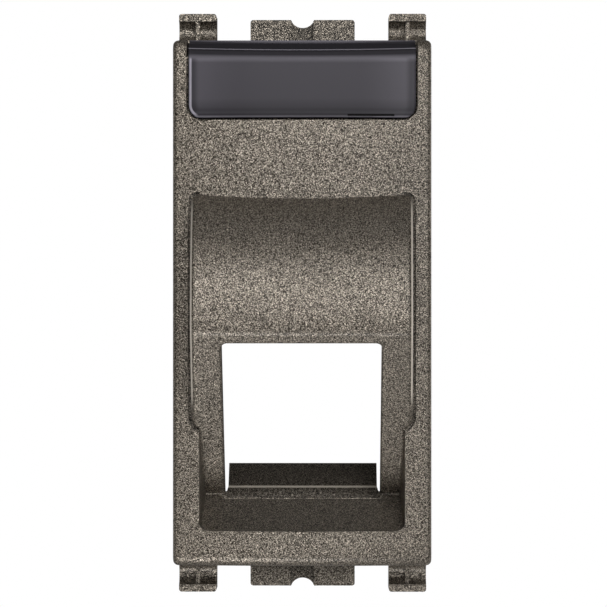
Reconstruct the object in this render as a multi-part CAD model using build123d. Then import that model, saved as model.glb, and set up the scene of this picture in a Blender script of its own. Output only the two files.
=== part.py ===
from build123d import *
import os
from math import cos, radians, sin, sqrt, tan

# Angled keystone adapter, one single-width wiring module with a label window. Sizes are in mm.
# X runs to the right, Y to the back and Z up, and the front of the module faces -Y.
# The origin is the middle of the module, in the plane where the back of its front block is seated.

# Front block
plate_width = 22.2
plate_height = 45.15
front_depth = 4.2           # from the seat to the front surface at its side edges
crown_rise = 1.0            # how far the middle of the front stands proud of its side edges
front_wall = 1.5
plate_side_radius = 0.45    # round the whole outline of both sides
plate_end_radius = 0.95     # along the front edge of both ends

# Rear shell
shell_width = 21.6
shell_height = 42.8
shell_depth = 8.6           # behind the seat
shell_side_wall = 1.5
shell_end_wall = 1.4
shell_corner_radius = 0.6

# Hood over the port
hood_width = 19.02          # across its foot
hood_draft = 1.0            # degrees, on its sides
hood_radius = 11.5
hood_height = 7.05          # from the front surface at its side edges to the top of the barrel
hood_peak_z = -1.2
hood_top_z = 9.25
hood_toe_z = -10.9
hood_corner_radius = 0.6
hood_toe_radius = 1.1
hood_edge_radius = 0.45
hood_sink = 1.0             # how deep its foot runs into the front block
hood_wall = 1.4
ridge_z = -2.6
ridge_radius = 1.1
trench_width = 0.25
trench_depth = 0.5
trench_reach = 0.75         # how far the trench follows the hood round its corners

# Port face and its window, measured down the face from the ridge
face_angle = 39.0           # degrees, between the port face and the front of the module
face_wall = 1.5
window_width = 13.5
window_top = 1.16
window_corner_radius = 0.5
window_edge_radius = 0.22   # along its front edge
window_foot = 0.6           # how far it reaches down past the sill's edge
sill_edge = 18.5
column_gap = 1.2            # from the ends of the columns to the sill's edge
column_step = 0.45          # how far the face drops back below the columns

# Bay in front of the port
bay_width = 17.6
bay_draft = 4.3             # degrees, on its sides
bay_bottom_z = -19.5
bay_land = 0.35             # straight part of the bay's lower wall, behind the front surface
bay_corner_radius = 0.7
bay_side_radius = 0.33      # where its sides meet the port face
sill_wall = 1.5
sill_rear_radius = 0.15     # where the sill meets the face below the columns
notch_width = 14.0          # of the step in the sill, in front of the tongue
notch_drop = 0.45           # from the sill's edge down to the step
notch_edge_radius = 0.15

# Jack sleeve, square to the port face
sleeve_width = 14.9
sleeve_wall = 1.2
sleeve_top = 0.9            # its upper inner face, down the face from the ridge
sleeve_depth = 9.0          # behind the port face
catch_width = 9.0
catch_height = 0.8
catch_depth = 1.2
tongue_drop = 0.2           # from the sill's edge down to its upper face
tongue_width = 13.0
tongue_wall = 1.2
tongue_depth = 4.75         # behind the port face
tongue_root = 0.65
tongue_bend = 1.68          # where its root ends and its straight leaf starts
tongue_root_setback = 0.38
tongue_flare = 0.3

# Lugs on both ends of the shell
rail_gap = 1.2              # from the seat to the front of the lugs
lug_depth = 2.8
claw_outer_x = 10.8
claw_inner_x = 7.53
claw_tip_z = 25.25
claw_corner_radius = 0.25
groove_radius = 0.85
groove_z = 23.75
rib_width = 0.35
rib_setback = 0.25
tab_width = 9.1
tab_tip_z = 24.71
tab_corner_radius = 0.25
notch_radius = 1.1
notch_depth = 0.66
channel_width = 1.84
channel_depth = 0.5

# Label window
recess_width = 19.84
recess_bottom_z = 15.65
recess_corner_radius = 1.3
recess_depth = 1.5
label_floor = 1.3
window_gap = 0.15           # clearance round the lens
lens_wall = 1.1
lens_edge_radius = 0.22
flange_wall = 1.3
flange_rise = 0.12          # how far its rim stands above the top of the block
flange_depth = 3.4          # behind the front surface at its side edges
flange_slope = 14.2         # degrees, on the top of the lens
flange_rim_height = 0.28
flange_rim_depth = 1.0
foot_spacing = 15.2
foot_width = 2.2
foot_height = 0.8
foot_depth = 4.0            # of its tip behind the front surface at its side edges
foot_z = 18.4
foot_clearance = 0.05
foot_tip_bevel = 0.2
pry_slot_width = 4.0
pry_slot_height = 0.16
pry_slot_depth = 0.3
pry_slot_x = 5.9
pry_slot_rise = 0.27        # above the bottom edge of the lens

# Places worked out from the sizes
front_y = -front_depth
crown_radius = ((plate_width / 2) ** 2 + crown_rise ** 2) / (2 * crown_rise)
crown_axis_y = front_y - crown_rise + crown_radius
hood_axis_y = front_y - hood_height + hood_radius
ridge_y = hood_axis_y - sqrt(hood_radius ** 2 - (hood_peak_z - ridge_z) ** 2)
lens_top_z = plate_height / 2 + flange_rise
column_end = sill_edge - column_gap
window_bottom = sill_edge + window_foot
sleeve_floor = sill_edge + tongue_drop
face_sine = sin(radians(face_angle))
face_cosine = cos(radians(face_angle))
port_plane = Plane(
    origin=(0, ridge_y, ridge_z),
    x_dir=(1, 0, 0),
    z_dir=(0, -face_cosine, -face_sine),
)
beyond = 5.0                # how far cutters run past what they cut
tolerance = 0.01            # for finding faces and edges by their place


def face_point(down, back):
    """Side-view point (y, z) from its distance down the port face and its depth behind it."""
    y = ridge_y + down * face_sine + back * face_cosine
    z = ridge_z - down * face_cosine + back * face_sine
    return (y, z)


def face_point_at(y, back):
    """Side-view point of depth y on the line that runs parallel to the port face, back behind it."""
    down = (y - ridge_y - back * face_cosine) / face_sine
    return face_point(down, back)


sill_front = (front_y + bay_land, bay_bottom_z)
sill_rear = face_point(sill_edge, column_step)
sill_slope = (sill_rear[1] - sill_front[1]) / (sill_rear[0] - sill_front[0])
notch_z = sill_rear[1] - notch_drop


def side_prism(outline, width):
    """Solid with the given side-view outline, of the given width across the module."""
    return extrude(Plane.YZ * outline, amount=width / 2, both=True)


def side_polygon(points):
    return make_face(Polyline(*points, close=True))


def port_box(width, down, back):
    """Box set square to the port face: width across, down and back each a (low, high) pair."""
    middle = Pos(0, -(down[0] + down[1]) / 2, -(back[0] + back[1]) / 2)
    return port_plane * middle * Box(width, down[1] - down[0], back[1] - back[0])


def block(x, y, z):
    """Box between two corners, each of x, y and z a (low, high) pair."""
    middle = Pos((x[0] + x[1]) / 2, (y[0] + y[1]) / 2, (z[0] + z[1]) / 2)
    return middle * Box(x[1] - x[0], y[1] - y[0], z[1] - z[0])


def behind_crown(inset):
    """All that lies behind the crowned front surface, set back by inset."""
    return Pos(0, crown_axis_y, 0) * Cylinder(crown_radius - inset, plate_height + 2 * beyond)


def front_outline(width, bottom_z, top_z, bottom_radius, top_radius):
    """Front-view rectangle whose lower and upper corners have their own radii."""
    outline = Pos(0, (bottom_z + top_z) / 2) * Rectangle(width, top_z - bottom_z)
    corners = outline.vertices().sort_by(Axis.Y)
    if bottom_radius > 0:
        outline = fillet(corners[:2], bottom_radius)
        corners = outline.vertices().sort_by(Axis.Y)
    if top_radius > 0:
        outline = fillet(corners[-2:], top_radius)
    return outline


def front_prism(outline, y_back, y_front, draft=0.0):
    """Solid with a front-view outline at y_back that narrows by the draft towards y_front."""
    plane = Plane.XZ.offset(-y_back)
    return extrude(plane * outline, amount=y_back - y_front, taper=draft)


def front_block():
    half_height = plate_height / 2
    body = block(
        (-plate_width / 2, plate_width / 2),
        (front_y - crown_rise, 0),
        (-half_height, half_height),
    )
    body = body & behind_crown(0)
    front = body.faces().sort_by(Axis.Y)[0]
    body = fillet(front.edges().filter_by(Axis.Z, reverse=True), plate_end_radius)
    seat = body.faces().sort_by(Axis.Y)[-1]
    sides = body.faces().filter_by(Axis.X)
    return fillet(sides.edges() - seat.edges(), plate_side_radius)


def rear_shell():
    shell = block(
        (-shell_width / 2, shell_width / 2),
        (-front_wall, shell_depth),
        (-shell_height / 2, shell_height / 2),
    )
    return fillet(shell.edges().filter_by(Axis.Y), shell_corner_radius)


def hood_outline(grow):
    """Front-view outline of the hood's foot, or of the trench that runs round it."""
    return front_outline(
        hood_width + 2 * grow,
        hood_toe_z - grow,
        hood_top_z + grow,
        hood_toe_radius + grow,
        hood_corner_radius + grow,
    )


def hood_side_outline(barrel_inset, face_inset, foot_y):
    """Side view of the barrel and the port face, each set in by a wall, down to a foot at foot_y."""
    radius = hood_radius - barrel_inset
    foot = (foot_y, hood_peak_z + sqrt(radius ** 2 - (hood_axis_y - foot_y) ** 2))
    peak = (hood_axis_y - radius, hood_peak_z)
    ridge = ridge_point(barrel_inset, face_inset)
    toe = face_point_at(foot_y, face_inset)
    return make_face([ThreePointArc(foot, peak, ridge), Line(ridge, toe), Line(toe, foot)])


def ridge_point(barrel_inset, face_inset):
    """Side-view point where the barrel and the port face meet, each set in by a wall."""
    start = face_point(0, face_inset)
    offset_y = start[0] - hood_axis_y
    offset_z = start[1] - hood_peak_z
    # The face runs down along (sine, -cosine), so this is where a line meets a circle.
    along = offset_y * face_sine - offset_z * face_cosine
    outside = offset_y ** 2 + offset_z ** 2 - (hood_radius - barrel_inset) ** 2
    down = -along - sqrt(along ** 2 - outside)
    return face_point(down, face_inset)


def hood():
    foot_y = front_y + hood_sink
    outline = hood_side_outline(0, 0, foot_y)
    ridge = outline.vertices().sort_by_distance(ridge_point(0, 0))[0]
    barrel = side_prism(fillet(ridge, ridge_radius), hood_width + 2 * beyond)
    crest_y = front_y - hood_height - beyond
    solid = barrel & front_prism(hood_outline(0), foot_y, crest_y, hood_draft)
    return fillet(hood_rim(solid), hood_edge_radius)


def hood_rim(solid):
    """Edges where the hood's sides meet the barrel and the port face."""
    side_x = hood_width / 2 - hood_height * tan(radians(hood_draft)) - hood_corner_radius
    rim = []
    for edge in solid.edges():
        box = edge.bounding_box()
        stands = box.min.Y < front_y - crown_rise
        sideways = abs(edge.center().X) > side_x
        upright = box.size.Z > hood_corner_radius
        if stands and sideways and upright:
            rim.append(edge)
    return rim


def hood_trench():
    """Shallow trench that runs down both sides of the hood's foot."""
    pocket = front_prism(hood_outline(trench_width), front_y + trench_depth, front_y - beyond)
    side_low = hood_width / 2 - trench_reach
    side_high = hood_width / 2 + beyond
    span_y = (front_y - beyond, front_y + beyond)
    span_z = (hood_toe_z - beyond, hood_top_z + beyond)
    sides = block((side_low, side_high), span_y, span_z) + block((-side_high, -side_low), span_y, span_z)
    return pocket & sides


def bay():
    """Space in front of the port face and above the sill, cut into the front block."""
    # The first point carries the line of the sill on, below the mouth.
    outline = side_polygon([
        (2 * sill_front[0] - sill_rear[0], 2 * sill_front[1] - sill_rear[1]),
        sill_rear,
        face_point(column_end, column_step),
        face_point(column_end, 0),
        face_point_at(front_y - beyond, 0),
    ])
    mouth_y = front_y - 2 * crown_rise
    flare = 2 * crown_rise * tan(radians(bay_draft))
    mouth = front_outline(
        bay_width + 2 * flare, bay_bottom_z - flare, hood_top_z, bay_corner_radius + flare, 0
    )
    depth = sill_rear[0] + bay_land - mouth_y
    pocket = extrude(Plane.XZ.offset(-mouth_y) * mouth, amount=-depth, taper=bay_draft)
    pocket = pocket & side_prism(outline, bay_width + beyond)
    corners = port_face(pocket).edges().filter_by(Axis.X, reverse=True)
    pocket = fillet(corners, bay_side_radius)
    return fillet(edge_across(pocket, sill_rear), sill_rear_radius)


def port_face(solid):
    """The flat face of a solid that lies in the plane of the port."""
    for face in solid.faces().filter_by(port_plane):
        if abs(port_plane.to_local_coords(face.center()).Z) < tolerance:
            return face


def edge_across(solid, point):
    """The edge that runs straight across the module through a side-view point."""
    return solid.edges().filter_by(Axis.X).sort_by_distance((0, point[0], point[1]))[0]


def notch():
    """Step across the rear of the sill, in front of the tongue."""
    rear_y = face_point(sleeve_floor + tongue_root_setback, tongue_root)[0]
    return block((-notch_width / 2, notch_width / 2), (front_y, rear_y), (notch_z, sill_rear[1]))


def notched(body):
    """The body with its sill notched and the notch's front edge rounded."""
    body = body - notch()
    edge = edge_across(body, (sill_front[0] + (notch_z - sill_front[1]) / sill_slope, notch_z))
    return fillet(edge, notch_edge_radius)


def chamber():
    """Hollow of the shell, open at the back, which keeps a wall behind the front and the bay."""
    half_width = shell_width / 2 - shell_side_wall
    half_height = shell_height / 2 - shell_end_wall
    back_y = shell_depth + beyond
    label_z = recess_bottom_z - front_wall
    # The underside of the sill meets the back of the port face at the heel.
    wall_top = face_point(0, face_wall)
    sill_drop = sill_wall * sqrt(1 + sill_slope ** 2)
    drop = wall_top[1] - sill_rear[1] + sill_drop - sill_slope * (wall_top[0] - sill_rear[0])
    heel = face_point(drop / (sill_slope * face_sine + face_cosine), face_wall)
    under_front_y = heel[0] - (heel[1] + half_height) / sill_slope
    lower = side_polygon([
        face_point_at(front_y - beyond, face_wall),
        (front_y - beyond, label_z),
        (back_y, label_z),
        (back_y, -half_height),
        (under_front_y, -half_height),
        heel,
    ])
    lower = side_prism(lower, 2 * half_width) & behind_crown(front_wall)
    upper_z = (label_z - front_wall, half_height)
    upper = block((-half_width, half_width), (front_y, back_y), upper_z)
    upper = upper & behind_crown(recess_depth + label_floor)
    return lower + upper


def hood_chamber():
    """Hollow inside the hood, which opens into the shell's own."""
    foot_y = front_y + front_wall + hood_sink
    crest_y = front_y - hood_height
    width = hood_width - 2 * hood_wall
    barrel = side_prism(hood_side_outline(hood_wall, face_wall, foot_y), hood_width)
    outline = front_outline(width, hood_toe_z - beyond, hood_top_z - hood_wall, 0, 0)
    return barrel & front_prism(outline, foot_y, crest_y, hood_draft)


def port_window():
    """Opening through the port face, rounded at its upper corners."""
    outline = front_outline(window_width, -window_bottom, -window_top, 0, window_corner_radius)
    through = face_wall + beyond
    return extrude(port_plane.offset(-through) * outline, amount=through)


def window_rim(body):
    """Front edges of the port's window, from its top down to the ends of the columns."""
    half_width = window_width / 2 + tolerance
    rim = []
    for edge in port_face(body).edges():
        box = edge.bounding_box()
        if box.max.X < half_width and box.min.X > -half_width:
            rim.append(edge)
    return rim


def sleeve():
    """Walls that guide the jack in from behind, with a catch on the upper one."""
    start = face_wall / 2
    outer = port_box(
        sleeve_width + 2 * sleeve_wall,
        (sleeve_top - sleeve_wall, sleeve_floor + tongue_wall),
        (start, sleeve_depth),
    )
    inner = port_box(
        sleeve_width,
        (sleeve_top, sleeve_floor + 2 * tongue_wall),
        (start - beyond, sleeve_depth + beyond),
    )
    catch = port_box(
        catch_width,
        (sleeve_top - sleeve_wall, sleeve_top + catch_height),
        (sleeve_depth - catch_depth, sleeve_depth),
    )
    return outer - inner + catch


def tongue():
    """Springy lower wall of the sleeve, which grows out of the sill on a flared root."""
    end = sleeve_floor + tongue_wall
    leaf = port_box(tongue_width, (sleeve_floor, end), (tongue_bend, tongue_depth))
    root_width = tongue_width + 2 * tongue_flare
    root_start = sleeve_floor + tongue_root_setback
    wide = Pos(0, -(root_start + end) / 2) * Rectangle(root_width, end - root_start)
    narrow = Pos(0, -(sleeve_floor + end) / 2) * Rectangle(tongue_width, tongue_wall)
    root = loft([
        port_plane.offset(-tongue_root) * wide,
        port_plane.offset(-tongue_bend) * narrow,
    ])
    return leaf + root


def claw():
    """Upper right claw: a lug with a round groove for the rail's edge and a rib across the groove."""
    front = rail_gap
    back = rail_gap + lug_depth
    low_z = shell_height / 2 - shell_end_wall / 2
    middle_x = (claw_inner_x + claw_outer_x) / 2
    outline = front_outline(claw_outer_x - claw_inner_x, low_z, claw_tip_z, 0, claw_corner_radius)
    lug = front_prism(Pos(middle_x, 0) * outline, back, front)
    groove_width = 2 * claw_outer_x
    groove = Pos(middle_x, front, groove_z) * Rot(0, 90, 0) * Cylinder(groove_radius, groove_width)
    rib = block(
        (middle_x - rib_width / 2, middle_x + rib_width / 2),
        (front + rib_setback, back),
        (low_z, groove_z + groove_radius),
    )
    return lug - groove + rib


def centre_tab():
    """Upper middle tab, with a round notch in its tip and a channel below the notch."""
    front = rail_gap
    back = rail_gap + lug_depth
    low_z = shell_height / 2 - shell_end_wall / 2
    outline = front_outline(tab_width, low_z, tab_tip_z, 0, tab_corner_radius)
    notch_z = tab_tip_z + notch_radius - notch_depth
    outline = outline - Pos(0, notch_z) * Circle(notch_radius)
    channel = block(
        (-channel_width / 2, channel_width / 2),
        (front - beyond, front + channel_depth),
        (shell_height / 2, tab_tip_z + beyond),
    )
    return front_prism(outline, back, front) - channel


def lugs():
    right = claw()
    upper = right + mirror(right, Plane.YZ) + centre_tab()
    return upper + mirror(upper, Plane.XY)


def label_recess():
    """Seat for the label and its window, with a pocket at the top for the window's flange."""
    high_z = lens_top_z + beyond
    outline = front_outline(recess_width, recess_bottom_z, high_z, recess_corner_radius, 0)
    recess = front_prism(outline, 0, front_y - beyond) - behind_crown(recess_depth)
    pocket = block(
        (-recess_width / 2, recess_width / 2),
        (front_y - beyond, front_y + flange_depth + window_gap),
        (lens_top_z - flange_wall - window_gap, high_z),
    )
    return recess + pocket + window_feet(foot_clearance)


def window_feet(clearance):
    """Both feet of the label window, or with a clearance the slots that take them."""
    pair = Part()
    for side in (-1, 1):
        x = side * foot_spacing / 2
        foot = block(
            (x - foot_width / 2 - clearance, x + foot_width / 2 + clearance),
            (front_y + window_gap, front_y + foot_depth + clearance),
            (foot_z - foot_height / 2 - clearance, foot_z + foot_height / 2 + clearance),
        )
        if clearance == 0:
            tip = foot.faces().sort_by(Axis.Y)[-1]
            foot = chamfer(tip.edges(), foot_tip_bevel)
        pair += foot
    return pair


def label_window():
    """Smoked lens over the label, with a flange over the top of the block and two feet."""
    half_width = recess_width / 2 - window_gap
    bottom_z = recess_bottom_z + window_gap
    radius = recess_corner_radius - window_gap
    outline = front_outline(2 * half_width, bottom_z, lens_top_z, radius, 0)
    lens = front_prism(outline, 0, front_y - beyond) & behind_crown(0)
    lens -= behind_crown(lens_wall)
    flange = block(
        (-half_width, half_width),
        (front_y - beyond, front_y + flange_depth),
        (lens_top_z - flange_wall, lens_top_z),
    )
    lens += flange & behind_crown(0)
    rim_y = front_y + flange_depth - flange_rim_depth
    rim_z = lens_top_z - flange_rim_height
    slope_y = front_y - beyond
    slope_z = rim_z - (rim_y - slope_y) * tan(radians(flange_slope))
    high_z = lens_top_z + beyond
    above = side_polygon([(slope_y, slope_z), (rim_y, rim_z), (rim_y, high_z), (slope_y, high_z)])
    lens -= side_prism(above, recess_width)
    front = lens.faces().sort_by(Axis.Y)[0]
    lens = fillet(front.edges(), lens_edge_radius)
    slot_z = bottom_z + pry_slot_rise
    slot = block(
        (pry_slot_x - pry_slot_width / 2, pry_slot_x + pry_slot_width / 2),
        (front_y - beyond, front_y),
        (slot_z - pry_slot_height / 2, slot_z + pry_slot_height / 2),
    )
    lens -= slot - behind_crown(pry_slot_depth)
    return lens + window_feet(0)


def adapter_body():
    """The whole moulding: block, hood, bay and port, shell, sleeve and lugs."""
    body = front_block() + rear_shell()
    body -= hood_trench()
    body += hood()
    body -= bay()
    body -= chamber() + hood_chamber()
    body -= port_window()
    body = notched(fillet(window_rim(body), window_edge_radius))
    body += sleeve() + tongue() + lugs()
    return body - label_recess()


def save(node, solid):
    export_step(solid, os.path.join("parts", node + ".step"))


os.makedirs("parts", exist_ok=True)
save("adapter_body", adapter_body())
save("label_window", label_window())
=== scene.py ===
import math

import bpy
from bpy.props import FloatProperty, FloatVectorProperty, PointerProperty
from mathutils import Euler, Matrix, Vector


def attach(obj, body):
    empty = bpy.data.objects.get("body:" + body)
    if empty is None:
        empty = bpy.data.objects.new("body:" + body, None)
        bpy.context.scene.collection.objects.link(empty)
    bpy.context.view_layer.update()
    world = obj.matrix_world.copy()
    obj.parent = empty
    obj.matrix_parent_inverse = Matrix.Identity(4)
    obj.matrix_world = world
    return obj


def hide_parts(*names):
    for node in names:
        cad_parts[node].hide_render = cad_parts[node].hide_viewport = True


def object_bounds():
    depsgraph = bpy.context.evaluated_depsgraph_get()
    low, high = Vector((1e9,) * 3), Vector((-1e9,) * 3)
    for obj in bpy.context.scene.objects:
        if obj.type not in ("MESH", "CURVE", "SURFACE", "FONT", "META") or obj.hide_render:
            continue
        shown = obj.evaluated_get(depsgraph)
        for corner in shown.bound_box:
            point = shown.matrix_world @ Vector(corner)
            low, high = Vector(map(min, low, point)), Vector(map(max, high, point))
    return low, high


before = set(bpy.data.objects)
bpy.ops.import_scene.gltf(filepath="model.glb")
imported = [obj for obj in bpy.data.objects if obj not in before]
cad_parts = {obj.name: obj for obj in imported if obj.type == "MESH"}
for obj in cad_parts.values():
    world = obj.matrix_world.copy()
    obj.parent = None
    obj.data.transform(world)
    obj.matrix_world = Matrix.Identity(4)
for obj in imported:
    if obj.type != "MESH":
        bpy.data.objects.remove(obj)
cad_low, cad_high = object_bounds()

bl_info = {
    "name": "Angled keystone adapter",
    "version": (1, 0, 0),
    "blender": (4, 5, 0),
    "location": "View3D > Sidebar > Adapter",
    "description": "Finishes the moulding and the label window of an angled keystone adapter",
    "category": "Object",
}

MM = 0.001
WHITE = (1.0, 1.0, 1.0, 1.0)
FLOOR_COLOUR = (0.9, 0.9, 0.9, 1.0)
FLOOR_HALF = 3.0
CLIP_START = 0.01
MERGE_DISTANCE = 0.001 * MM
GRAIN_DETAIL = 2.0
CELL_MIDDLE = (0.5, 0.5, 0.5)
# Name, power setting, degrees to the module's right, degrees up, distance, width and height in metres
LAMPS = (
    ("key", "key_power", 5, 25, 0.55, 0.38, 0.525),
    ("right", "right_power", 30, 12, 0.55, 0.20, 0.20),
    ("left strip", "strip_power", -120, 5, 0.50, 0.15, 0.35),
    ("right strip", "strip_power", 120, 5, 0.50, 0.15, 0.35),
    ("low", "low_power", 0, -53, 0.20, 0.067, 0.067),
    ("top", "top_power", 0, 80, 0.55, 0.20, 0.20),
)
# Brightness of the window's plastic at heights in millimetres down from its top, with even changes between;
# most of it is painted light and shade: painted light on the rim, a painted dark reflection on the slope
# and a painted highlight on the upper edge, the flange behind the front with a painted sheen at its foot,
# clear front, painted shade towards the bottom, edge of the label bed, a painted shadow in the gap and a
# painted highlight on the lower edge
LENS_BANDS_WITH_PAINTED_LIGHT = (
    (0.06, 0.205), (0.29, 0.036), (0.98, 0.036), (1.01, 0.35), (1.07, 0.35), (1.10, 0.027),
    (1.50, 0.029), (1.72, 0.106), (1.86, 0.110), (2.18, 0.062), (5.20, 0.057), (6.12, 0.037),
    (6.22, 0.040), (6.42, 0.060), (6.60, 0.036), (6.76, 0.168), (6.85, 0.015),
)


# Shader building

class Value:
    """An output socket that turns Python arithmetic into Math nodes."""

    def __init__(self, finish, output):
        self.finish = finish
        self.output = output

    def also(self, name):
        """Another output of the same node."""
        return Value(self.finish, self.output.node.outputs[name])

    def math(self, operation, *values):
        """A Math node on numbers."""
        inputs = dict(enumerate(values))
        return self.finish.node("ShaderNodeMath", 0, {"operation": operation}, inputs)

    def __add__(self, other):
        return self.math("ADD", self, other)

    def __radd__(self, other):
        return self.math("ADD", other, self)

    def __sub__(self, other):
        return self.math("SUBTRACT", self, other)

    def __rsub__(self, other):
        return self.math("SUBTRACT", other, self)

    def __mul__(self, other):
        return self.math("MULTIPLY", self, other)

    def __rmul__(self, other):
        return self.math("MULTIPLY", other, self)

    def __truediv__(self, other):
        return self.math("DIVIDE", self, other)

    def __pow__(self, other):
        return self.math("POWER", self, other)

    def vector(self, operation, *values):
        """A Vector Math node on this value and others."""
        inputs = dict(enumerate((self, *values)))
        return self.finish.node("ShaderNodeVectorMath", 0, {"operation": operation}, inputs)

    def larger(self, other):
        """The larger of two numbers."""
        return self.math("MAXIMUM", self, other)

    def step(self, low, high):
        """0 below low, 1 above high and a smooth rise between them."""
        inputs = {"Value": self, "From Min": low, "From Max": high}
        return self.finish.node("ShaderNodeMapRange", 0, {"interpolation_type": "SMOOTHSTEP"}, inputs)


class Finish:
    """A node tree under construction, with one method that adds any node."""

    def __init__(self, owner):
        owner.use_nodes = True
        self.tree = owner.node_tree
        self.tree.nodes.clear()

    def node(self, kind, output=0, settings=None, inputs=None):
        """Adds a node, sets its settings, then its inputs by name or number, and gives one output."""
        node = self.tree.nodes.new(kind)
        for name, value in (settings or {}).items():
            setattr(node, name, value)
        for name, value in (inputs or {}).items():
            if isinstance(value, Value):
                self.tree.links.new(value.output, node.inputs[name])
            else:
                node.inputs[name].default_value = value
        return Value(self, node.outputs[output]) if len(node.outputs) else None

    def bands(self, value, reach, stops):
        """Brightness that follows a value, by stops of a value in millimetres and its brightness."""
        bright = self.node("ShaderNodeValToRGB", inputs={"Fac": value / reach})
        ramp = bright.output.node.color_ramp
        for place, _ in stops[1:-1]:
            ramp.elements.new(place * MM / reach)
        for element, (place, level) in zip(ramp.elements, stops):
            element.position = min(place * MM / reach, 1.0)
            element.color = (level, level, level, 1.0)
        return bright

    def mix(self, factor, first, second):
        """Colour between two colours."""
        settings = {"data_type": "RGBA"}
        return self.node("ShaderNodeMix", 2, settings, {0: factor, 6: first, 7: second})

    def scaled(self, colour, factor):
        """A colour or vector times a number."""
        inputs = {0: colour, "Scale": factor}
        return self.node("ShaderNodeVectorMath", 0, {"operation": "SCALE"}, inputs)

    def surface(self, inputs):
        """The plastic's own shader and the tree's output."""
        shader = self.node("ShaderNodeBsdfPrincipled", inputs=inputs)
        self.node("ShaderNodeOutputMaterial", inputs={"Surface": shader})


def rgba(colour):
    """A colour with full alpha, as sockets take it."""
    return (*colour, 1.0)


# Finishes

def moulding_painted_light(finish, place, settings):
    """Painted shade on the tabs and the tongue, as a factor, and painted highlights on the hood's side rims
    and the tongue's bend, as a mask.
    """
    across = finish.node("ShaderNodeSeparateXYZ", "X", inputs={0: place})
    from_middle = across.math("ABSOLUTE", across)
    depth = across.also("Y")
    height = across.also("Z")
    from_centre = height.math("ABSOLUTE", height)
    # Painted shade on the centre tabs, darker still in their recessed middle
    tab = from_centre.step(*settings.tab_foot) * (1 - from_middle.step(*settings.tab_side))
    middle = tab * (1 - from_middle.step(*settings.tab_middle))
    # Painted shade on the tongue's leaf and root, deep in the port
    tongue = depth.step(*settings.tongue_depth) * (1 - from_middle.step(*settings.tongue_side))
    leaf = tongue * height.step(*settings.leaf_foot) * (1 - height.step(*settings.leaf_top))
    root = tongue * height.step(*settings.root_foot) * (1 - height.step(*settings.leaf_foot))
    # A painted highlight where the tongue bends
    bend = tongue * height.step(*settings.bend_foot) * (1 - height.step(*settings.bend_top))
    # A painted highlight along the hood's side rims
    inset = settings.hood_side + depth * settings.hood_lean - from_middle
    rim = inset.step(*settings.rim_start) * (1 - inset.step(*settings.rim_end))
    rim = rim * (1 - depth.step(*settings.rim_depth)) * (1 - from_centre.step(*settings.rim_height))
    # Painted shade as one factor, painted highlights as one mask
    shade = (1 - tab * settings.tab_shade) * (1 - middle * settings.middle_shade)
    shade = shade * (1 - leaf * settings.leaf_shade) * (1 - root * settings.root_shade)
    return shade, rim.larger(bend * settings.bend_highlight_strength)


def moulding_finish(settings):
    """Warm bronze-grey plastic, full of fine metallic flakes, with painted shade on its tabs and tongue and
    painted highlights on the hood's side rims and the tongue's bend.
    """
    material = bpy.data.materials.new("bronze_moulding")
    finish = Finish(material)
    place = finish.node("ShaderNodeTexCoord", "Object")
    shade, pale = moulding_painted_light(finish, place, settings)
    cells = finish.node(
        "ShaderNodeTexVoronoi", "Color", inputs={"Vector": place, "Scale": 1 / settings.flake_size}
    )
    tone = finish.node("ShaderNodeSeparateColor", "Red", inputs={"Color": cells})
    fleck = tone ** settings.flake_contrast
    colour = finish.mix(fleck, rgba(settings.plastic_colour), rgba(settings.flake_colour))
    # Painted shade darkens the flaked colour, and painted highlights turn it pale on the hood's side rims
    # and the tongue's bend
    colour = finish.mix(pale, finish.scaled(colour, shade), rgba(settings.painted_highlight_colour))
    metallic = fleck * settings.flake_metal * (1 - pale)
    grain = finish.node(
        "ShaderNodeTexNoise",
        "Fac",
        inputs={"Vector": place, "Scale": 1 / settings.grain_size, "Detail": GRAIN_DETAIL},
    )
    bump = finish.node(
        "ShaderNodeBump",
        inputs={"Strength": settings.grain_strength, "Distance": settings.grain_depth, "Height": grain},
    )
    lean = finish.scaled(cells.vector("SUBTRACT", CELL_MIDDLE), settings.flake_tilt)
    normal = bump.vector("ADD", lean).vector("NORMALIZE")
    finish.surface({
        "Base Color": colour,
        "Metallic": metallic,
        "Roughness": settings.roughness,
        "Specular IOR Level": settings.shine,
        "Normal": normal,
        "Coat Weight": settings.gloss,
        "Coat Roughness": settings.gloss_roughness,
    })
    return material


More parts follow.
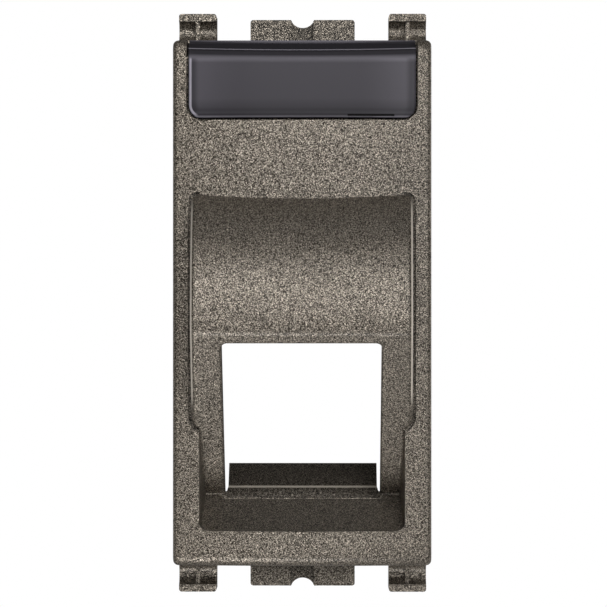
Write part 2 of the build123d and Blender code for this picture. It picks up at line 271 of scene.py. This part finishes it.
def lens_finish(settings, low, high):
    """Smoked clear plastic with painted highlights on its edges and painted sheen and shade on its front,
    whose flange and label bed show through its front.
    """
    material = bpy.data.materials.new("smoked_lens")
    finish = Finish(material)
    place = finish.node("ShaderNodeTexCoord", "Object")
    across = finish.node("ShaderNodeSeparateXYZ", "X", inputs={0: place})
    from_top = high.z - across.also("Z")
    from_bottom = across.also("Z") - low.z
    from_side = high.x - across.math("ABSOLUTE", across)
    # Bands of brightness down the window, mostly painted light and shade, bowed up at their ends near the
    # top
    bow = across * across * (1 - from_top.step(*settings.bow_fade)) * settings.bow
    bright = finish.bands(from_top + bow, high.z - low.z, LENS_BANDS_WITH_PAINTED_LIGHT)
    radius = settings.corner_radius
    beside = (radius - from_side).larger(0.0)
    below = (radius - from_bottom).larger(0.0)
    inset = radius - (beside * beside + below * below) ** 0.5
    clear = from_top.step(*settings.flange_end)
    # A painted highlight along the window's left edge
    left = (high.x + across).step(*settings.left_edge)
    strip = (1 - left) * clear * inset.step(*settings.strip_start) * (1 - inset.step(*settings.strip_end))
    # Painted sheen towards the front's sides
    sides = 1 - from_side.step(0.0, settings.side_reach)
    bright = bright * (1 + sides * clear * settings.painted_side_sheen)
    # Painted shade just inside the front's outline
    bright = bright * (1 - settings.painted_edge_shade * clear * (1 - inset.step(*settings.shade_end)))
    slot = across.step(*settings.slot_left) * (1 - across.step(*settings.slot_right))
    slot = slot * from_bottom.step(*settings.slot_bottom) * (1 - from_bottom.step(*settings.slot_top))
    bright = bright * (1 - slot)
    bright = bright + strip * settings.left_edge_highlight
    finish.surface({
        "Base Color": finish.scaled(settings.tint, bright),
        "Roughness": settings.roughness,
        "Specular IOR Level": 0.0,
        "Coat Weight": clear * settings.gloss,
        "Coat Roughness": settings.gloss_roughness,
    })
    return material


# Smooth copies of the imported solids

def smoothing_tree():
    """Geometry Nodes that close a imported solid's loose triangles and shade its curves smooth."""
    tree = bpy.data.node_groups.new("smooth_solid", "GeometryNodeTree")
    face = tree.interface
    face.new_socket("Solid", in_out="INPUT", socket_type="NodeSocketGeometry")
    face.new_socket("Merge Distance", in_out="INPUT", socket_type="NodeSocketFloat")
    face.new_socket("Crease Angle", in_out="INPUT", socket_type="NodeSocketFloat")
    face.new_socket("Finish", in_out="INPUT", socket_type="NodeSocketMaterial")
    face.new_socket("Piece", in_out="OUTPUT", socket_type="NodeSocketGeometry")
    nodes, links = tree.nodes, tree.links
    given = nodes.new("NodeGroupInput")
    merge = nodes.new("GeometryNodeMergeByDistance")
    angle = nodes.new("GeometryNodeInputMeshEdgeAngle")
    gentle = nodes.new("FunctionNodeCompare")
    gentle.operation = "LESS_THAN"
    smooth_faces = nodes.new("GeometryNodeSetShadeSmooth")
    smooth_edges = nodes.new("GeometryNodeSetShadeSmooth")
    smooth_edges.domain = "EDGE"
    realize = nodes.new("GeometryNodeRealizeInstances")
    finish = nodes.new("GeometryNodeSetMaterial")
    result = nodes.new("NodeGroupOutput")
    links.new(given.outputs["Solid"], merge.inputs["Geometry"])
    links.new(given.outputs["Merge Distance"], merge.inputs["Distance"])
    links.new(merge.outputs["Geometry"], smooth_faces.inputs["Geometry"])
    links.new(smooth_faces.outputs["Geometry"], smooth_edges.inputs["Geometry"])
    links.new(angle.outputs["Unsigned Angle"], gentle.inputs["A"])
    links.new(given.outputs["Crease Angle"], gentle.inputs["B"])
    links.new(gentle.outputs["Result"], smooth_edges.inputs["Shade Smooth"])
    links.new(smooth_edges.outputs["Geometry"], realize.inputs["Geometry"])
    links.new(realize.outputs["Geometry"], finish.inputs["Geometry"])
    links.new(given.outputs["Finish"], finish.inputs["Material"])
    links.new(finish.outputs["Geometry"], result.inputs["Piece"])
    return tree


def set_input(modifier, name, value):
    """Sets one of a Geometry Nodes modifier's inputs through its identifier."""
    for item in modifier.node_group.interface.items_tree:
        if item.in_out == "INPUT" and item.name == name:
            modifier[item.identifier] = value
            return
    raise RuntimeError(f"the tree has no input named {name}")


def smooth_copy(node, name, material, crease_angle):
    """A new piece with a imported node's shape, whose curves are shaded smooth."""
    source = bpy.data.objects.new("source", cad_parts[node].data.copy())
    bpy.context.scene.collection.objects.link(source)
    modifier = source.modifiers.new("smooth", "NODES")
    modifier.node_group = smoothing_tree()
    set_input(modifier, "Merge Distance", MERGE_DISTANCE)
    set_input(modifier, "Crease Angle", crease_angle)
    set_input(modifier, "Finish", material)
    weigh = source.modifiers.new("weigh", "WEIGHTED_NORMAL")
    weigh.keep_sharp = True
    depsgraph = bpy.context.evaluated_depsgraph_get()
    mesh = bpy.data.meshes.new_from_object(source.evaluated_get(depsgraph), depsgraph=depsgraph)
    bpy.data.objects.remove(source)
    mesh.materials.clear()
    mesh.materials.append(material)
    piece = bpy.data.objects.new(name, mesh)
    bpy.context.scene.collection.objects.link(piece)
    return piece


# Settings

class MouldingSettings(bpy.types.PropertyGroup):
    plastic_colour: FloatVectorProperty(
        name="Plastic", description="Colour of the plastic between the flakes",
        default=(0.012, 0.009, 0.006), subtype="COLOR", min=0, max=1,
    )
    flake_colour: FloatVectorProperty(
        name="Flakes", description="Colour of the brightest flakes",
        default=(0.74, 0.655, 0.545), subtype="COLOR", min=0, max=1,
    )
    flake_size: FloatProperty(
        name="Flake size", description="Mean distance from flake to flake",
        default=0.045 * MM, unit="LENGTH", precision=6,
    )
    flake_contrast: FloatProperty(
        name="Flake contrast", description="Power that thins out the bright flakes",
        default=3.5,
    )
    flake_tilt: FloatProperty(
        name="Flake tilt", description="How far the flakes lie out of the surface's plane",
        default=0.35,
    )
    flake_metal: FloatProperty(
        name="Flake metal", description="How metallic the brightest flakes are",
        default=1.0, subtype="FACTOR", min=0, max=1,
    )
    roughness: FloatProperty(
        name="Roughness", description="Roughness of the moulded surface",
        default=0.38, subtype="FACTOR", min=0, max=1,
    )
    shine: FloatProperty(
        name="Shine", description="How strongly the plastic between the flakes reflects",
        default=0.1, subtype="FACTOR", min=0, max=1,
    )
    gloss: FloatProperty(
        name="Gloss", description="Weight of the clear skin over the flakes",
        default=0.12, subtype="FACTOR", min=0, max=1,
    )
    gloss_roughness: FloatProperty(
        name="Gloss roughness", description="Roughness of the clear skin",
        default=0.28, subtype="FACTOR", min=0, max=1,
    )
    grain_size: FloatProperty(
        name="Grain size", description="Size of the mould's fine texture",
        default=0.25 * MM, unit="LENGTH", precision=6,
    )
    grain_depth: FloatProperty(
        name="Grain depth", description="Depth of the mould's fine texture",
        default=0.02 * MM, unit="LENGTH", precision=6,
    )
    grain_strength: FloatProperty(
        name="Grain strength", description="How strongly the fine texture tilts the surface",
        default=0.4, subtype="FACTOR", min=0, max=1,
    )
    # Painted shade on the centre tabs and their recessed middle
    tab_foot: FloatVectorProperty(
        name="Tab foot", description="Where the centre tabs start, up or down from the middle",
        default=(22.50 * MM, 22.65 * MM), size=2, unit="LENGTH", precision=6,
    )
    tab_side: FloatVectorProperty(
        name="Tab side", description="Where the centre tabs end sideways",
        default=(5.0 * MM, 5.2 * MM), size=2, unit="LENGTH", precision=6,
    )
    tab_middle: FloatVectorProperty(
        name="Tab middle", description="Where the darker middle of the tabs ends sideways",
        default=(0.98 * MM, 1.08 * MM), size=2, unit="LENGTH", precision=6,
    )
    # How strongly the tabs and their middle are darkened with painted shade
    tab_shade: FloatProperty(
        name="Tab shade", description="How much duller the centre tabs are",
        default=0.22, subtype="FACTOR", min=0, max=1,
    )
    middle_shade: FloatProperty(
        name="Tab middle shade", description="How much duller the middle of the tabs is",
        default=0.35, subtype="FACTOR", min=0, max=1,
    )
    # Painted shade on the tongue's leaf and root, and a painted highlight where it bends
    tongue_depth: FloatVectorProperty(
        name="Tongue depth", description="Depth at which the tongue starts",
        default=(-3.5 * MM, -3.0 * MM), size=2, unit="LENGTH", precision=6,
    )
    tongue_side: FloatVectorProperty(
        name="Tongue side", description="Where the tongue ends sideways",
        default=(6.5 * MM, 6.7 * MM), size=2, unit="LENGTH", precision=6,
    )
    leaf_top: FloatVectorProperty(
        name="Leaf top", description="Upper end of the tongue's duller leaf",
        default=(-13.9 * MM, -13.7 * MM), size=2, unit="LENGTH", precision=6,
    )
    leaf_foot: FloatVectorProperty(
        name="Leaf foot", description="Lower end of the tongue's duller leaf",
        default=(-16.1 * MM, -15.9 * MM), size=2, unit="LENGTH", precision=6,
    )
    root_foot: FloatVectorProperty(
        name="Root foot", description="Lower end of the tongue's root",
        default=(-17.15 * MM, -17.0 * MM), size=2, unit="LENGTH", precision=6,
    )
    # The painted highlight where the tongue bends
    bend_foot: FloatVectorProperty(
        name="Bend foot", description="Lower end of the pale line where the tongue bends",
        default=(-16.22 * MM, -16.14 * MM), size=2, unit="LENGTH", precision=6,
    )
    bend_top: FloatVectorProperty(
        name="Bend top", description="Upper end of the pale line where the tongue bends",
        default=(-16.06 * MM, -15.98 * MM), size=2, unit="LENGTH", precision=6,
    )
    bend_highlight_strength: FloatProperty(
        name="Bend strength", description="How pale the line is where the tongue bends",
        default=0.65, subtype="FACTOR", min=0, max=1,
    )
    # How strongly the tongue's leaf and root are darkened with painted shade
    leaf_shade: FloatProperty(
        name="Leaf shade", description="How much duller the tongue's leaf is",
        default=0.45, subtype="FACTOR", min=0, max=1,
    )
    root_shade: FloatProperty(
        name="Root shade", description="How much duller the tongue's root is",
        default=0.40, subtype="FACTOR", min=0, max=1,
    )
    # The painted highlight along the hood's side rims follows these
    hood_side: FloatProperty(
        name="Hood side", description="Half the hood's width, carried back to the seat plane",
        default=9.565 * MM, unit="LENGTH", precision=6,
    )
    hood_lean: FloatProperty(
        name="Hood lean", description="How much the hood's sides close in towards its front",
        default=0.01746,
    )
    rim_start: FloatVectorProperty(
        name="Rim start", description="Where the hood's pale side rim starts, in from its side",
        default=(0.01 * MM, 0.04 * MM), size=2, unit="LENGTH", precision=6,
    )
    rim_end: FloatVectorProperty(
        name="Rim end", description="Where the hood's pale side rim ends, in from its side",
        default=(0.13 * MM, 0.19 * MM), size=2, unit="LENGTH", precision=6,
    )
    rim_depth: FloatVectorProperty(
        name="Rim depth", description="Depth at which the pale rim fades, near the front block",
        default=(-4.6 * MM, -4.2 * MM), size=2, unit="LENGTH", precision=6,
    )
    rim_height: FloatVectorProperty(
        name="Rim height", description="Where the pale rim fades, up or down from the middle",
        default=(7.6 * MM, 9.2 * MM), size=2, unit="LENGTH", precision=6,
    )
    # Colour of the painted highlights on the hood's side rims and on the tongue's bend
    painted_highlight_colour: FloatVectorProperty(
        name="Rim", description="Colour of the hood's polished side rims and of the tongue's bend",
        default=(0.62, 0.56, 0.48), subtype="COLOR", min=0, max=1,
    )
    crease_angle: FloatProperty(
        name="Crease angle", description="Edges above this angle stay sharp",
        default=math.radians(32), unit="ROTATION",
    )


class WindowSettings(bpy.types.PropertyGroup):
    tint: FloatVectorProperty(
        name="Tint", description="Tint of the smoked plastic, at full brightness",
        default=(1.14, 1.08, 1.24), subtype="COLOR", min=0,
    )
    roughness: FloatProperty(
        name="Roughness", description="Roughness of the plastic under its polish",
        default=0.5, subtype="FACTOR", min=0, max=1,
    )
    gloss: FloatProperty(
        name="Gloss", description="Weight of the polish on the front",
        default=0.12, subtype="FACTOR", min=0, max=1,
    )
    gloss_roughness: FloatProperty(
        name="Gloss roughness", description="Roughness of the polish",
        default=0.18, subtype="FACTOR", min=0, max=1,
    )
    corner_radius: FloatProperty(
        name="Corner radius", description="Radius of the window's lower corners",
        default=1.15 * MM, unit="LENGTH", precision=6,
    )
    bow: FloatProperty(
        name="Bow", description="How strongly the upper bands curve up at their ends, per metre",
        default=1.95,
    )
    bow_fade: FloatVectorProperty(
        name="Bow fade", description="Where the bands become straight, down from the window's top",
        default=(1.2 * MM, 3.0 * MM), size=2, unit="LENGTH", precision=6,
    )
    flange_end: FloatVectorProperty(
        name="Flange end", description="Where the flange stops showing, down from the window's top",
        default=(1.60 * MM, 1.90 * MM), size=2, unit="LENGTH", precision=6,
    )
    # The painted highlight along the window's left edge: where it fades from the left side, where it starts
    # and ends in from the outline, and how bright it is
    left_edge: FloatVectorProperty(
        name="Left edge", description="Where the bright edge on the left fades, from the left side",
        default=(0.45 * MM, 0.95 * MM), size=2, unit="LENGTH", precision=6,
    )
    strip_start: FloatVectorProperty(
        name="Edge start", description="Where the bright edge starts, in from the outline",
        default=(0.05 * MM, 0.14 * MM), size=2, unit="LENGTH", precision=6,
    )
    strip_end: FloatVectorProperty(
        name="Edge end", description="Where the bright edge ends, in from the outline",
        default=(0.25 * MM, 0.33 * MM), size=2, unit="LENGTH", precision=6,
    )
    left_edge_highlight: FloatProperty(
        name="Edge brightness", description="Brightness of the bright edge on the left",
        default=0.26,
    )
    # Painted sheen towards the front's sides
    side_reach: FloatProperty(
        name="Side reach", description="How far the front is lighter, in from its sides",
        default=5.0 * MM, unit="LENGTH", precision=6,
    )
    painted_side_sheen: FloatProperty(
        name="Side sheen", description="How much lighter the front is at its sides",
        default=0.45,
    )
    # Painted shade just inside the front's outline
    painted_edge_shade: FloatProperty(
        name="Edge shade", description="How much darker the front is inside its outline",
        default=0.42,
    )
    shade_end: FloatVectorProperty(
        name="Edge shade end", description="Where the darker outline ends, in from the outline",
        default=(0.40 * MM, 1.00 * MM), size=2, unit="LENGTH", precision=6,
    )
    slot_left: FloatVectorProperty(
        name="Slot left", description="Where the shadow of the pry slot starts, from the middle",
        default=(3.85 * MM, 3.95 * MM), size=2, unit="LENGTH", precision=6,
    )
    slot_right: FloatVectorProperty(
        name="Slot right", description="Where the shadow of the pry slot ends, from the middle",
        default=(7.85 * MM, 7.95 * MM), size=2, unit="LENGTH", precision=6,
    )
    slot_bottom: FloatVectorProperty(
        name="Slot bottom", description="Lower side of the pry slot's shadow, up from the bottom",
        default=(0.17 * MM, 0.20 * MM), size=2, unit="LENGTH", precision=6,
    )
    slot_top: FloatVectorProperty(
        name="Slot top", description="Upper side of the pry slot's shadow, up from the bottom",
        default=(0.34 * MM, 0.38 * MM), size=2, unit="LENGTH", precision=6,
    )
    crease_angle: FloatProperty(
        name="Crease angle", description="Edges above this angle stay sharp",
        default=math.radians(32), unit="ROTATION",
    )


class StageSettings(bpy.types.PropertyGroup):
    camera_place: FloatVectorProperty(
        name="Camera", description="Where the camera stands",
        default=(2.3 * MM, -294.2 * MM, -0.063 * MM), subtype="TRANSLATION",
    )
    camera_target: FloatVectorProperty(
        name="Target", description="The point in the middle of the picture",
        default=(0.12 * MM, -4.2 * MM, -0.063 * MM), subtype="TRANSLATION",
    )
    focal_length: FloatProperty(
        name="Focal length", description="Focal length of the camera in millimetres",
        default=200.5, unit="CAMERA",
    )
    floor_drop: FloatProperty(
        name="Floor drop", description="From the module's lowest point down to the floor",
        default=0.16, unit="LENGTH",
    )
    key_power: FloatProperty(
        name="Key", description="Power of the tall front light",
        default=1.74, unit="POWER",
    )
    right_power: FloatProperty(
        name="Right", description="Power of the light on the right",
        default=0.48, unit="POWER",
    )
    strip_power: FloatProperty(
        name="Strips", description="Power of the lights behind the sides",
        default=0.35, unit="POWER",
    )
    low_power: FloatProperty(
        name="Low", description="Power of the small light below",
        default=0.15, unit="POWER",
    )
    top_power: FloatProperty(
        name="Top", description="Power of the light overhead",
        default=0.1, unit="POWER",
    )
    room_light: FloatProperty(
        name="Room light", description="How brightly the room lights dull surfaces", default=0.03,
    )
    room_glow: FloatProperty(
        name="Room glow", description="How bright the background behind looks in reflections", default=0.1,
    )
    floor_glow: FloatProperty(
        name="Floor glow", description="How bright the floor looks in reflections", default=0.2,
    )
    floor_light: FloatProperty(
        name="Floor light", description="White added to the floor by the object's feet", default=0.65,
    )
    floor_fade: FloatVectorProperty(
        name="Floor fade", description="Where the floor turns plain white, out from the module's middle",
        default=(0.25, 0.60), size=2, unit="LENGTH",
    )
    background_edge: FloatVectorProperty(
        name="Background edge",
        description="Depth of the reflected directions where the white background starts and is full",
        default=(0.10, 0.40), size=2,
    )


# Pieces

class ADAPTER_OT_moulding(bpy.types.Operator):
    """Finish the moulding in flaked bronze plastic"""
    bl_idname = "adapter.moulding"
    bl_label = "Moulding"

    def execute(self, context):
        settings = context.scene.adapter_moulding
        material = moulding_finish(settings)
        piece = smooth_copy("adapter_body", "moulding", material, settings.crease_angle)
        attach(piece, "module")
        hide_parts("adapter_body")
        return {"FINISHED"}


class ADAPTER_OT_window(bpy.types.Operator):
    """Finish the label window in smoked plastic"""
    bl_idname = "adapter.window"
    bl_label = "Label window"

    def execute(self, context):
        settings = context.scene.adapter_window
        corners = [Vector(corner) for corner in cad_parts["label_window"].bound_box]
        low = Vector([min(values) for values in zip(*corners)])
        high = Vector([max(values) for values in zip(*corners)])
        material = lens_finish(settings, low, high)
        piece = smooth_copy("label_window", "label_lens", material, settings.crease_angle)
        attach(piece, "label_window")
        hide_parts("label_window")
        return {"FINISHED"}


# Stage

def white_room(settings):
    """A world that is white to look at, white in reflections from behind, and lights the object softly."""
    world = bpy.data.worlds.new("white_room")
    bpy.context.scene.world = world
    finish = Finish(world)
    path = finish.node("ShaderNodeLightPath", "Is Camera Ray")
    direction = finish.node("ShaderNodeTexCoord", "Generated")
    depth = finish.node("ShaderNodeSeparateXYZ", "Y", inputs={0: direction})
    mirrored = depth.step(*settings.background_edge) * settings.room_glow
    seen = path.larger(path.also("Is Transmission Ray"))
    seen = seen.larger(path.also("Is Glossy Ray") * mirrored)
    strength = seen.larger(path.also("Is Diffuse Ray") * settings.room_light)
    room = finish.node("ShaderNodeBackground", inputs={"Color": WHITE, "Strength": strength})
    finish.node("ShaderNodeOutputWorld", inputs={"Surface": room})


def pale_floor(settings):
    """A floor that takes the object's shadow nearby and is plain white further off."""
    z = cad_low.z - settings.floor_drop
    mesh = bpy.data.meshes.new("floor")
    signs = [(-1, -1), (1, -1), (1, 1), (-1, 1)]
    corners = [(x * FLOOR_HALF, y * FLOOR_HALF, z) for x, y in signs]
    mesh.from_pydata(corners, [], [(0, 1, 2, 3)])
    floor = bpy.data.objects.new("floor", mesh)
    bpy.context.scene.collection.objects.link(floor)
    material = bpy.data.materials.new("pale_floor")
    finish = Finish(material)
    place = finish.node("ShaderNodeTexCoord", "Object")
    reach = finish.node("ShaderNodeVectorMath", "Value", {"operation": "LENGTH"}, {0: place})
    path = finish.node("ShaderNodeLightPath", "Is Camera Ray")
    looked = path.larger(path.also("Is Transmission Ray"))
    glossy = path.also("Is Glossy Ray")
    far = (reach.step(*settings.floor_fade) * looked).larger(glossy)
    glow = looked + glossy * settings.floor_glow
    near = finish.node("ShaderNodeBsdfDiffuse", inputs={"Color": FLOOR_COLOUR})
    lift = looked * settings.floor_light
    lift = finish.node("ShaderNodeEmission", inputs={"Color": WHITE, "Strength": lift})
    lit = finish.node("ShaderNodeAddShader", inputs={0: near, 1: lift})
    white = finish.node("ShaderNodeEmission", inputs={"Color": WHITE, "Strength": glow})
    mixed = finish.node("ShaderNodeMixShader", inputs={0: far, 1: lit, 2: white})
    finish.node("ShaderNodeOutputMaterial", inputs={"Surface": mixed})
    mesh.materials.append(material)


def aim(thing, place, target):
    """Puts a lamp or the camera at a place, facing a target."""
    thing.location = place
    thing.rotation_mode = "QUATERNION"
    thing.rotation_quaternion = (Vector(target) - Vector(place)).to_track_quat("-Z", "Y")


def soft_light(name, power, turn, rise, distance, width, height):
    """A soft light that faces the module, turned to its right and raised by angles in degrees."""
    lamp = bpy.data.lights.new(name, "AREA")
    lamp.shape = "RECTANGLE"
    lamp.size = width
    lamp.size_y = height
    lamp.energy = power
    light = bpy.data.objects.new(name, lamp)
    light.visible_camera = False
    bpy.context.scene.collection.objects.link(light)
    direction = Euler((-math.radians(rise), 0, math.radians(turn))).to_matrix() @ Vector((0, -1, 0))
    aim(light, direction * distance, (0, 0, 0))


class ADAPTER_OT_stage(bpy.types.Operator):
    """Set up the floor, the room, the lights and the camera"""
    bl_idname = "adapter.stage"
    bl_label = "Stage"

    def execute(self, context):
        settings = context.scene.adapter_stage
        white_room(settings)
        pale_floor(settings)
        for name, power, turn, rise, distance, width, height in LAMPS:
            soft_light(name, getattr(settings, power), turn, rise, distance, width, height)
        camera = bpy.data.cameras.new("camera")
        camera.lens = settings.focal_length
        camera.clip_start = CLIP_START
        viewer = bpy.data.objects.new("camera", camera)
        context.scene.collection.objects.link(viewer)
        aim(viewer, settings.camera_place, settings.camera_target)
        context.scene.camera = viewer
        context.scene.view_settings.view_transform = "Standard"
        return {"FINISHED"}


class ADAPTER_PT_panel(bpy.types.Panel):
    """Lists the steps that dress the adapter"""
    bl_idname = "ADAPTER_PT_panel"
    bl_label = "Angled keystone adapter"
    bl_space_type = "VIEW_3D"
    bl_region_type = "UI"
    bl_category = "Adapter"

    def draw(self, context):
        for operator, settings in STEPS:
            box = self.layout.box()
            box.operator(operator.bl_idname)
            group = getattr(context.scene, settings)
            for name in group.bl_rna.properties.keys():
                if name not in ("rna_type", "name"):
                    box.prop(group, name)


SETTINGS = {
    "adapter_moulding": MouldingSettings,
    "adapter_window": WindowSettings,
    "adapter_stage": StageSettings,
}
STEPS = [
    (ADAPTER_OT_moulding, "adapter_moulding"),
    (ADAPTER_OT_window, "adapter_window"),
    (ADAPTER_OT_stage, "adapter_stage"),
]
CLASSES = [*SETTINGS.values(), *(operator for operator, _ in STEPS), ADAPTER_PT_panel]


def register():
    for cls in CLASSES:
        bpy.utils.register_class(cls)
    for name, group in SETTINGS.items():
        setattr(bpy.types.Scene, name, PointerProperty(type=group))


def unregister():
    for name in SETTINGS:
        delattr(bpy.types.Scene, name)
    for cls in reversed(CLASSES):
        bpy.utils.unregister_class(cls)


def main():
    register()
    bpy.ops.adapter.moulding()
    bpy.ops.adapter.window()
    bpy.ops.adapter.stage()


if __name__ == "__main__":
    main()
